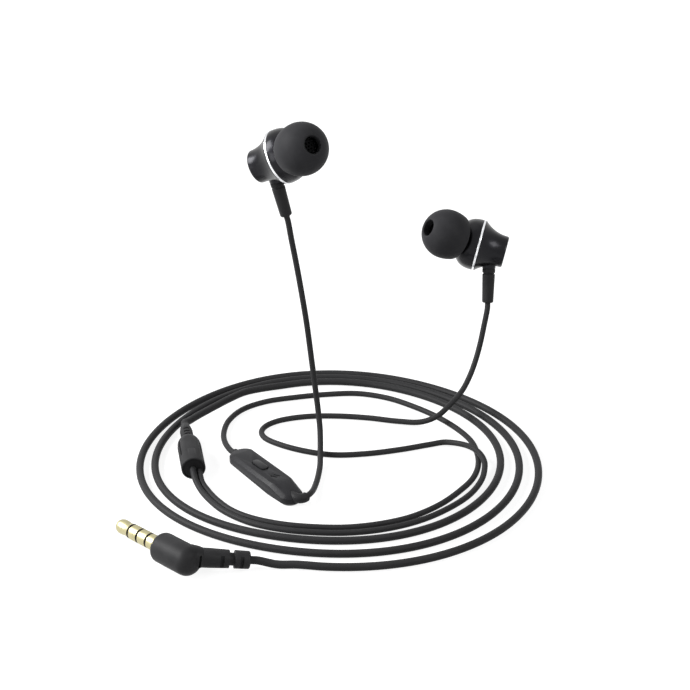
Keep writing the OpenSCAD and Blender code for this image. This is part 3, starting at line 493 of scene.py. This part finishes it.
def lathe(name, profile, place, material, closed=False):
    """Turns [radius, height] pairs in mm about the z axis of a place, with closed poles."""
    shape = bmesh.new()
    rings = [ring_of(shape, r, z) for r, z in profile]
    for a, b in zip(rings, rings[1:] + (rings[:1] if closed else [])):
        for k in range(STEPS):
            corners = [a[k % len(a)], a[(k + 1) % len(a)], b[(k + 1) % len(b)], b[k % len(b)]]
            corners = [v for i, v in enumerate(corners) if v not in corners[:i]]
            if len(corners) > 2:
                shape.faces.new(corners)
    shape.transform(place)
    return make_piece(name, shape, material)


def arc(cx, cz, r, first, last, count):
    """Points of a round from one angle to another, in degrees, as [radius, height] pairs."""
    angles = [math.radians(first + (last - first) * i / count) for i in range(count + 1)]
    return [(cx + r * math.cos(a), cz + r * math.sin(a)) for a in angles]


# %% [markdown]
# Silicone rubber is dark and matte here. Its gloss is very low, and a fine bloom of dust
# and skin oil makes the tone uneven. The mould's own fine tooth breaks up what gloss is left,
# and like other grains it is drawn coarser than it is, at 0.12 mm.

# %% Silicone finish
silicone, tree, shader, place = new_material("moulded silicone rubber")
bloom = grain(tree, place, 2.5, 4)
tooth = grain(tree, place, 0.12)
fill(tree, shader, Base_Color=blend_colours(tree, bloom, "#2d2d2f", "#333335"),
     Roughness=between(tree, bloom, 0.5, 0.62), Normal=relief_map(tree, tooth, 0.006),
     Specular_IOR_Level=0.06)

# %% Turn the two ear tips
SKIRT_LEN, SKIRT_IN, SKIRT_STEPS, SKIRT_WALL, SKIRT_GROWS = 3.0, 0.08, 10, 0.5, 0.012
LIP_R, RIM_R, RIM_IN, CROWN_WALL, CROWN_TOP = 0.35, 0.2, 0.22, 0.65, 0.8
CORE_IN, CORE_OUT, CORE_BACK, CORE_STOP, CORE_EDGE = 2.8, 3.5, 7.2, 12.7, 0.3
tip_r, hole_r = TIP_D / 2, TIP_HOLE_D / 2
mouth_angle = math.degrees(math.acos((hole_r + LIP_R) / (tip_r - LIP_R)))
mouth_z = TIP_WIDE + (tip_r - LIP_R) * math.sin(math.radians(mouth_angle))


def skirt_point(i, wall=0.0):
    """A point of the skirt some tenths of the way back, as far in from its outside as wall."""
    r = tip_r - (tip_r * SKIRT_IN) * (i / SKIRT_STEPS) ** 2
    return r - wall, TIP_WIDE - SKIRT_LEN * i / SKIRT_STEPS


rim_r, rim_z = skirt_point(SKIRT_STEPS)
dome_line = arc(0, TIP_WIDE, tip_r, 0, mouth_angle, 30)
mouth = arc(hole_r + LIP_R, mouth_z, LIP_R, mouth_angle, 180, 8)
skirt_out = [skirt_point(i) for i in range(1, SKIRT_STEPS + 1)]
rim = arc(rim_r - RIM_IN, rim_z, RIM_R, 0, -180, 8)
# The skirt's wall grows from half a millimetre at the rim to a little more at the dome.
skirt_in = [skirt_point(i, SKIRT_WALL + SKIRT_GROWS * (SKIRT_STEPS - i))
            for i in range(SKIRT_STEPS - 1, -1, -1)]
crown = [((tip_r - CROWN_WALL) * math.cos(math.radians(a)),
          TIP_WIDE + (tip_r - CROWN_TOP) * math.sin(math.radians(a))) for a in range(6, 34, 4)]
# The core tube folds back from the dome at half its height, and its ends have small cut edges.
fold_z = TIP_WIDE + tip_r * 0.5
core = [(CORE_OUT + CORE_EDGE, fold_z), (CORE_OUT, fold_z - CORE_EDGE), (CORE_OUT, CORE_BACK + 0.2),
        (CORE_OUT - 0.2, CORE_BACK), (CORE_IN + 0.1, CORE_BACK), (CORE_IN, CORE_BACK + 0.1),
        (CORE_IN, CORE_STOP), (hole_r + 0.15, CORE_STOP), (hole_r, CORE_STOP + 0.15)]
inside = core[::-1] + crown[::-1] + skirt_in[::-1] + rim[::-1]
tip_profile = skirt_out[::-1] + dome_line + mouth + inside
for bud in BUDS:
    tip = lathe(bud + "_soft_tip", tip_profile, above_desk(nozzles[bud]), silicone, closed=True)
    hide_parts(bud + "_ear_tip")
    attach(tip, bud + "_ear_tip")
    print(tip.name, len(tip.data.polygons), "faces")

# %% [markdown]
# ## Hard pieces from the CAD
# The CAD's solids have the right shapes, and their edges are as sharp as a drawing's. A real
# moulding or stamping has a small round on every edge, and that round is what catches the light.
# So each shown piece is a copy of its node: merged, its flat faces joined, its edges rounded.

# %% A helper that finishes a CAD node's edges


def finished(node, material, round_mm, angle=35, smooth_angle=35, segments=2, reshape=None):
    """A copy of a node with merged corners, joined flats and rounded edges, standing for it."""
    shape = bmesh.new()
    shape.from_mesh(nodes[node].data)
    bmesh.ops.remove_doubles(shape, verts=shape.verts, dist=1e-6)
    if reshape:
        reshape(shape)
    bmesh.ops.dissolve_limit(shape, angle_limit=math.radians(0.5), verts=shape.verts,
                             edges=shape.edges)
    limit = math.radians(angle)
    sharp = [e for e in shape.edges if e.is_manifold and e.calc_face_angle(0) > limit]
    if round_mm:
        bmesh.ops.bevel(shape, geom=sharp, offset=round_mm * MM, segments=segments, profile=0.5,
                        affect="EDGES", clamp_overlap=True, miter_outer="ARC")
    piece = make_piece(node + "_dressed", shape, material, smooth_angle)
    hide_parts(node)
    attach(piece, nodes[node]["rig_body"])
    return piece


# %% [markdown]
# ## Finishes of the buds
# The shells are die-cast zinc under a dark gunmetal lacquer, which is glossy and a little
# metallic. Spraying leaves a faint orange peel, just under a millimetre across, that makes the
# reflections swim, and the flake in it is drawn at 0.15 mm, since the real one is too fine to
# show. The trim ring is turned aluminium, and the plug's contacts are plated in gold.

# %% Shell lacquer, bright ring and gold
lacquer, tree, shader, place = new_material("gunmetal lacquer on zinc")
peel = grain(tree, place, 0.9, 1)
flake = grain(tree, place, 0.15, 3)
fill(tree, shader, Base_Color=blend_colours(tree, flake, "#151518", "#1b1b1e"),
     Roughness=between(tree, flake, 0.3, 0.38), Metallic=1.0, Normal=relief_map(tree, peel, 0.004),
     Coat_Weight=0.22, Coat_Roughness=0.2)

# Turned aluminium is nearly white, and its fine lines spread each highlight into a short streak.
bright = plain_finish("turned bright aluminium", "#e3e4e7", "#f0f1f3", 1.5, 0.1, 0.001,
                      (0.12, 0.24), metallic=1.0)
# Thin gold over nickel is pale and slightly green, with a soft shine.
gold = plain_finish("pale gold plating", "#b0a983", "#bab38e", 2.0, 0.5, 0.0002, (0.34, 0.4),
                    metallic=1.0)

# %% [markdown]
# ## Finishes of the moulded pieces
# The remote's covers are moulded ABS with a fine spark-eroded texture. The handle, the boot,
# the reliefs and the splitter are overmoulded in a softer TPE, which is duller. The insulator
# bands of the plug are a hard resin.

# %% Moulded plastics and rubbers
# Spark erosion leaves the covers evenly matte, with a soft sheen along their edges.
abs_cover = plain_finish("spark-eroded black ABS", "#262628", "#2c2c2e", 3.0, 0.16, 0.006,
                         (0.29, 0.38), Specular_IOR_Level=0.09)
# The button is polished in its mould, so it shines more than the covers round it.
abs_button = plain_finish("polished black ABS", "#19191b", "#1f1f21", 2.0, 0.3, 0.002,
                          (0.14, 0.22), Specular_IOR_Level=0.16)
# Overmoulded TPE is dull and even, and takes the light softly round its curves.
overmould = plain_finish("overmoulded TPE", "#272728", "#2e2e2f", 4.0, 0.2, 0.012, (0.42, 0.55),
                         Specular_IOR_Level=0.09)
# The splitter's end face lies deep and rough, and its near-black colour is painted shade of that
# recess.
painted_shade_face = plain_finish("TPE face with painted recess shade", "#0d0d0e", "#121213", 2.0, 0.2, 0.01, (0.55, 0.7),
                         Specular_IOR_Level=0.15)
# The bands are nearly black, and stay dark between the bright contacts.
insulator = plain_finish("glossy insulator resin", "#120e0c", "#1a1411", 1.0, 0.2, 0.001,
                         (0.3, 0.4), Specular_IOR_Level=0.05)

# %% [markdown]
# ## Finishes of the inner pieces
# The pieces inside the buds and the remote hardly show, but each has its own stuff: stamped
# steel, a nickel-plated magnet, enamelled copper, a thin polyester film, a lacquered brass
# cover, green solder mask and pale open foam.

# %% Inner finishes
# Stamped steel is pale grey with a blurred shine.
steel = plain_finish("stamped steel", "#a9abaf", "#b9bbbf", 1.2, 0.1, 0.002, (0.28, 0.42),
                     metallic=1.0)
# Blackened steel is matte and dark of its own, and its near-black colour is partly painted shade of
# the deep openings, so the nozzle's mesh and the microphone behind its slots stay dark.
black_steel_and_hole_shade = plain_finish("blackened steel with painted hole shade", "#060607", "#0a0a0b", 0.8, 0.1, 0.002, (0.5, 0.65),
                           Specular_IOR_Level=0.03)
# Nickel is a darker and sharper mirror than the steel.
nickel = plain_finish("nickel-plated magnet", "#8d8f94", "#9a9ca1", 1.0, 0.12, 0.001, (0.2, 0.32),
                      metallic=1.0)
# Enamel gives the wound wire a warm red-brown gloss.
copper = plain_finish("enamelled copper", "#a8602e", "#b86f3c", 0.6, 0.06, 0.004, (0.25, 0.4),
                      metallic=0.9)
# Polyester film is straw-coloured with a faint satin sheen.
film = plain_finish("formed polyester film", "#d5c599", "#decfa8", 1.5, 0.2, 0.001, (0.25, 0.35))
# Lacquered brass is a warm, soft yellow.
brass = plain_finish("lacquered brass", "#bfa566", "#cdb476", 1.2, 0.1, 0.001, (0.25, 0.38),
                     metallic=1.0)
# Solder mask is a glassy mid green.
solder_mask = plain_finish("green solder mask", "#2a6643", "#31734c", 1.8, 0.2, 0.002, (0.3, 0.42))
# Open foam is off-white, coarse and wholly matte.
foam = plain_finish("open-cell foam", "#dedcd4", "#efede7", 0.3, 0.12, 0.05, (0.85, 0.95))
# The driver's frame is plain dark resin with little shine.
frame_resin = plain_finish("black frame resin", "#262628", "#303032", 1.5, 0.15, 0.004,
                           (0.4, 0.55))

inner_of_buds = {
    "driver_basket": frame_resin, "driver_cover": brass, "yoke": steel, "magnet": nickel,
    "top_plate": steel, "voice_coil": copper, "diaphragm": film, "terminal_board": solder_mask,
    # The nozzle mesh's near-black is partly painted shade of the sound opening.
    "damper": foam, "nozzle_mesh": black_steel_and_hole_shade}
inner_of_cords = {
    "remote_circuit_board": solder_mask, "remote_switch": steel,
    # The microphone's near-black is partly painted shade of its slots.
    "remote_microphone": black_steel_and_hole_shade, "splitter_crimp": steel}
inner = {f"{bud}_{name}": material for bud in BUDS for name, material in inner_of_buds.items()}
inner.update(inner_of_cords)
for name, material in inner.items():
    nodes[name].data.materials.clear()
    nodes[name].data.materials.append(material)
print(len(inner), "inner pieces have their finishes")

# %% [markdown]
# ## Two small changes of form
# The remote's lower edge is drawn in and up towards its upper end, like a boat's, and its top
# slopes down at that end. The boot's two pairs of flex slots are a little wider than the CAD's.

# %% Helpers that reshape a copy of a node
REMOTE = above_desk(Matrix.Translation((*REMOTE_AT, 0))
                    @ Matrix.Rotation(math.radians(REMOTE_HEADING), 4, "Z"))
REMOTE_ENDS, REMOTE_EDGE, BOTTOM_OUT, EDGE_OUT, TOP_Z = (-9.8, 10.1), 0.7, 1.8, 2.75, 2
BELLY_IN, BELLY_UP, BELLY_FROM, BELLY_LEN, TOP_SLOPE = 0.9, 0.8, 5, 15, 0.15
BOOT = above_desk(pointing(bend_at, boot_way))
SLOTS, SLOT_HALF, SLOT_MORE = (7.9, 12.2), 0.25, 0.2
# How near to an edge's or a slot's own place a corner counts as lying on it.
ON_EDGE, ON_SLOT = 0.05, 0.03


def rounder_belly(shape):
    """Draws the remote's lower edge in and up towards its upper end."""
    for v in shape.verts:
        place = REMOTE.inverted() @ v.co
        spine = Vector((min(max(place.x, REMOTE_ENDS[0]), REMOTE_ENDS[1]), 0, place.z))
        out = place - spine
        share = min(max((BELLY_FROM - place.x) / BELLY_LEN, 0), 1)
        if place.z < ON_EDGE and out.length > BOTTOM_OUT:
            place -= share * BELLY_IN * out.normalized()
        elif abs(place.z - REMOTE_EDGE) < ON_EDGE and out.length > EDGE_OUT:
            place.z += share * BELLY_UP
        elif place.z > TOP_Z and place.x < REMOTE_ENDS[0]:
            place.z -= TOP_SLOPE * (REMOTE_ENDS[0] - place.x)
        v.co = REMOTE @ place


def wider_slots(shape):
    """Opens the boot's two pairs of flex slots on each side."""
    for v in shape.verts:
        place = BOOT.inverted() @ v.co
        for middle in SLOTS:
            if abs(abs(place.z - middle) - SLOT_HALF) < ON_SLOT:
                place.z += SLOT_MORE if place.z > middle else -SLOT_MORE
                v.co = BOOT @ place


# %% [markdown]
# Each shown piece has its finish, the size of its rounded edges in millimetres, and its slot.
# The remote's covers have the widest rounds, and the bright ring the finest.

# %% Dress the shown hard pieces
bud_pieces = {
    "rear_shell": (lacquer, 0.08, "shell_metal"), "trim_ring": (bright, 0.04, "bright_ring"),
    "front_housing": (lacquer, 0.08, "shell_metal"),
    "strain_relief": (overmould, 0.08, "cord_rubber")}
cord_fittings = {
    "remote_button": (abs_button, 0.12, "button_plastic"),
    "remote_upper_bushing": (overmould, 0.1, "cord_rubber"),
    "remote_elbow_bushing": (overmould, 0, "cord_rubber"),
    "splitter_barrel": (overmould, 0.08, "cover_plastic"),
    "splitter_neck": (overmould, 0.06, "cord_rubber"),
    # The end cap's near-black is painted shade of its recess.
    "splitter_end_cap": (painted_shade_face, 0.08, "cord_rubber"),
    "plug_handle": (overmould, 0.05, "cord_rubber"),
    "plug_boot": (overmould, 0.08, "cord_rubber"),
    "remote_bottom_cover": (abs_cover, 0.34, "cover_plastic"),
    "remote_top_cover": (abs_cover, 0.34, "cover_plastic")}
cover_edges = {"angle": 20, "smooth_angle": 30, "segments": 3, "reshape": rounder_belly}
extras = {"plug_boot": {"reshape": wider_slots}, "remote_bottom_cover": cover_edges,
          "remote_top_cover": cover_edges}
for bud in BUDS:
    for name, (material, round_mm, slot) in bud_pieces.items():
        finished(f"{bud}_{name}", material, round_mm)
dressed_pieces = {}
for name, (material, round_mm, slot) in cord_fittings.items():
    piece = finished(name, material, round_mm, **extras.get(name, {}))
    dressed_pieces[name] = piece
    print(piece.name, len(piece.data.polygons), "faces")

# %% [markdown]
# ## The plug's contacts
# The tip, the two rings and the sleeve are turned brass, plated in pale gold, on a moulded
# insulator that shows as three dark bands. Each is turned here about the plug's own axis, so
# its light runs along it in clean lines, and each edge has a small chamfer.

# %% Turn the plug's contacts
PLUG = above_desk(pointing(PLUG_AT, compass(PLUG_HEADING, PLUG_DIP)))
SHANK, BAND, CONTACT_R, BORE_R, PIN_R, CHAMFER = -5.5, 0.6, 1.75, 1.175, 0.5, 0.05
FLANGE_R, FLANGE_LEN, SHANK_R, SLEEVE_FROM, TIP_LEN, TIP_ROOT_R = 2.4, 1, 1.5, 0.1, 4.58, 1.65
# The insulator starts 0.5 mm up the shank, clears the metal by 0.025 mm, and its bands lie
# 0.02 mm below the contacts.
WALL_FROM, CLEAR, BAND_IN = SHANK + 0.5, 0.025, 0.02
bands = [8.7, 5.7, 2.7]


def turned_ring(low, high):
    """A contact between two places along the plug, as a closed profile with chamfered edges."""
    return [(BORE_R, low), (CONTACT_R - CHAMFER, low), (CONTACT_R, low + CHAMFER),
            (CONTACT_R, high - CHAMFER), (CONTACT_R - CHAMFER, high), (BORE_R, high)]


nose = bands[0] + BAND
waist_points = [(1.72, 0.05), (1.59, 0.8), (1.56, 1.3), (1.65, 2.2), (1.69, 2.9), (1.62, 3.5),
                (1.36, 4.1), (0.88, 4.46), (0.4, 4.56), (0.05, TIP_LEN)]
waist = smooth_line([Vector((r, 0, nose + z)) for r, z in waist_points], 0.12)
tip_line = [(0, SHANK), (PIN_R, SHANK), (PIN_R, nose), (TIP_ROOT_R, nose),
            *((v.x, v.z) for v in waist), (0, nose + TIP_LEN)]
sleeve_line = [(BORE_R, SHANK), (FLANGE_R, SHANK), (FLANGE_R, SHANK + FLANGE_LEN),
               (SHANK_R, SHANK + FLANGE_LEN), (SHANK_R, SLEEVE_FROM),
               *turned_ring(SLEEVE_FROM, bands[2])[1:]]
wall = [(PIN_R + CLEAR, WALL_FROM), (BORE_R - CLEAR, WALL_FROM)]
for band in bands[::-1]:
    wall += [(BORE_R - CLEAR, band), (CONTACT_R - BAND_IN, band),
             (CONTACT_R - BAND_IN, band + BAND), (BORE_R - CLEAR, band + BAND)]
wall[-1] = (PIN_R + CLEAR, nose)
contacts = {
    "plug_tip": (gold, "gold_contact", tip_line),
    "plug_ring_1": (gold, "gold_contact", turned_ring(bands[1] + BAND, bands[0])),
    "plug_ring_2": (gold, "gold_contact", turned_ring(bands[2] + BAND, bands[1])),
    "plug_sleeve": (gold, "gold_contact", sleeve_line),
    "plug_insulator": (insulator, "insulator", wall)}
for name, (material, slot, profile) in contacts.items():
    piece = lathe(name + "_turned", profile, PLUG, material, closed=name != "plug_tip")
    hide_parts(name)
    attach(piece, nodes[name]["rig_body"])
    dressed_pieces[name] = piece
    print(piece.name, len(piece.data.polygons), "faces")

# %% [markdown]
# ## What each cord is
# Each cord has a row of facts: its real length, what its far end runs to, the pieces that go with
# it and how it lies. Nothing reads them; each cord's CAD node is hidden and its jacket hangs from
# the root body.
# The two thin cords leave the buds and meet at the splitter, the left one by way of the remote.
# The main cord runs from the splitter round its coil to the plug.


def going_with(prefix):
    """The pieces on a cord whose names start alike: the dressed ones, and the nodes inside."""
    dressed_ones = [piece for name, piece in dressed_pieces.items() if name.startswith(prefix)]
    return dressed_ones + [nodes[name] for name in inner_of_cords if name.startswith(prefix)]


facts = {"left_bud_cord": (0.081, "fitting", going_with("remote_"), "loose"),
         "right_bud_cord": (0.244, "object", [], "loose"),
         "remote_cord": (0.2, "fitting", going_with("splitter_"), "loose"),
         "main_cord": (0.75, "plug", going_with("plug_"), "coiled")}
for name, (length, far_end, with_pieces, lay) in facts.items():
    piece = cord_pieces[name]
    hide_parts(name)
    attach(piece, "root")
print(len(facts), "cords declared")

# %% [markdown]
# ## The stage and the light
# The floor is a plain pale sheet. Where the camera or a reflection sees it, it is white, so that
# gloss shows a bright room, and the pieces still drop a soft shade on it. A small near lamp,
# three broad ones and a pale world give soft light at a plain level.

# %% Floor, lamps and world


def seen_directly(tree):
    """1 where the camera, a reflection or a clear material looks, and 0 for light on its way."""
    ray = add(tree, "ShaderNodeLightPath")
    seen = ray.outputs["Is Camera Ray"]
    for kind in ("Is Glossy Ray", "Is Transmission Ray"):
        seen = add(tree, "ShaderNodeMath", {0: seen, 1: ray.outputs[kind]}, operation="ADD",
                   use_clamp=True).outputs[0]
    return seen


floor_shape = bmesh.new()
bmesh.ops.create_grid(floor_shape, x_segments=1, y_segments=1, size=2.5)
floor_shape.transform(Matrix.Translation((0, 0, DESK - 0.0002)))
floor_material = bpy.data.materials.new("plain white sheet")
floor_material.use_nodes = True
tree = floor_material.node_tree
tree.nodes.clear()
# The glow brings the sheet up to white where it is seen, and lights nothing.
sheet = add(tree, "ShaderNodeBsdfDiffuse", {"Color": linear("#a0a0a0")})
glow = add(tree, "ShaderNodeEmission", {"Color": (1, 1, 1, 1), "Strength": 0.87})
both = add(tree, "ShaderNodeAddShader", {0: sheet.outputs[0], 1: glow.outputs[0]})
mix = add(tree, "ShaderNodeMixShader",
          {0: seen_directly(tree), 1: sheet.outputs[0], 2: both.outputs[0]})
add(tree, "ShaderNodeOutputMaterial", {0: mix.outputs[0]})
floor = make_piece("floor", floor_shape, floor_material)


def lamp(name, place, target, size, power):
    """A square area lamp that faces a target."""
    light = bpy.data.objects.new(name, bpy.data.lights.new(name, "AREA"))
    light.data.shape = "SQUARE"
    light.data.size = size
    light.data.energy = power
    light.location = place
    light.rotation_euler = (Vector(target) - Vector(place)).to_track_quat("-Z", "Y").to_euler()
    bpy.context.scene.collection.objects.link(light)


# Each lamp's heading and rise in degrees, its distance and size in metres, and its power in watts.
LAMPS = {"key": (-142, 20, 0.22, 0.1, 0.14), "left": (178, 33, 0.67, 0.36, 7.0),
         "right": (-36, 34, 0.67, 0.28, 1.75), "top": (110, 70, 0.6, 0.35, 0.2)}
middle = Vector((0.01, 0.0, -0.05))
for name, (heading, rise, reach, size, power) in LAMPS.items():
    lamp(name, middle + reach * compass(heading, -rise), middle, size, power)

world = bpy.data.worlds.new("pale room")
bpy.context.scene.world = world
world.use_nodes = True
tree = world.node_tree
tree.nodes.clear()
# The room is white where it is seen, and gives the pieces only a faint light.
strength = add(tree, "ShaderNodeMapRange",
               {"Value": seen_directly(tree), "To Min": 0.08, "To Max": 1.0})
room = add(tree, "ShaderNodeBackground",
           {"Color": (1, 1, 1, 1), "Strength": strength.outputs[0]})
add(tree, "ShaderNodeOutputWorld", {0: room.outputs[0]})
bpy.context.scene.view_settings.view_transform = "Standard"
print(len(LAMPS), "lamps, a floor and a world")
